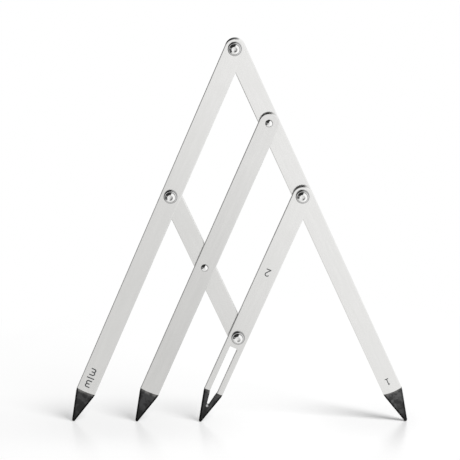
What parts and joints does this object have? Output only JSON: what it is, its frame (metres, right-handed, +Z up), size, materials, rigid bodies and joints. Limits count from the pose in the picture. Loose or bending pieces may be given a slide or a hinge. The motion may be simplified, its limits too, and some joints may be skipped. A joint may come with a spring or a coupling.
{
  "type": "golden ratio divider",
  "caption": "Flat steel proportional divider: riveted legs form a parallelogram linkage whose black coated points keep golden-section spacing as it opens and closes.",
  "frame": {"origin": "on the surface that the points stand on, midway between the outer points and midway between the front and back rivet heads", "axes": "+Z up from the points to the apex pivot, the domed rivet heads face -Y, the leg with the single bar is at +X"},
  "size_m": [0.1382, 0.0074, 0.1596],
  "materials": {
    "bar_steel": "satin stainless steel, finely brushed along each bar",
    "rivet_steel": "polished bright rivet head",
    "washer_steel": "polished bright washer",
    "tip_coat": "satin black dipped vinyl",
    "friction_washer": "plain white nylon"
  },
  "bodies": {
    "right_leg": {"right_leg": "bar_steel", "right_tip": "tip_coat", "apex_back_washer": "washer_steel", "apex_friction_washer": "friction_washer", "apex_front_washer": "washer_steel", "apex_rivet": "rivet_steel", "upper_friction_washer": "friction_washer", "upper_rivet": "rivet_steel", "right_back_washer": "washer_steel", "right_friction_washer": "friction_washer", "right_front_washer": "washer_steel", "right_rivet": "rivet_steel"},
    "left_leg": {"left_leg": "bar_steel", "left_tip": "tip_coat", "left_back_washer": "washer_steel", "left_friction_washer": "friction_washer", "left_front_washer": "washer_steel", "left_rivet": "rivet_steel"},
    "middle_leg": {"middle_leg": "bar_steel", "middle_tip": "tip_coat", "cross_friction_washer": "friction_washer", "cross_rivet": "rivet_steel"},
    "short_leg": {"short_leg": "bar_steel", "short_tip": "tip_coat", "lower_back_washer": "washer_steel", "lower_friction_washer": "friction_washer", "lower_front_washer": "washer_steel", "lower_rivet": "rivet_steel"},
    "cross_brace": {"cross_brace": "bar_steel"}
  },
  "joints": [
    {"name": "opening", "type": "hinge", "parent": "right_leg", "child": "left_leg", "pos_m": [0, 0, 0.15557], "axis": [0, 1, 0], "range_deg": [-32.1, 112]},
    {"name": "middle_swing", "type": "hinge", "parent": "right_leg", "child": "middle_leg", "pos_m": [0.01311, 0, 0.12587], "axis": [0, 1, 0], "range_deg": [-32.1, 112]},
    {"name": "short_swing", "type": "hinge", "parent": "right_leg", "child": "short_leg", "pos_m": [0.02623, 0, 0.09617], "axis": [0, 1, 0], "range_deg": [-32.1, 112]},
    {"name": "brace_swing", "type": "hinge", "parent": "left_leg", "child": "cross_brace", "pos_m": [-0.02623, 0, 0.09617], "axis": [0, 1, 0], "range_deg": [-112, 32.1]}
  ],
  "couplings": [
    {"joint": "middle_swing", "follows": "opening", "ratio": 1},
    {"joint": "short_swing", "follows": "opening", "ratio": 1},
    {"joint": "brace_swing", "follows": "opening", "ratio": -1}
  ]
}
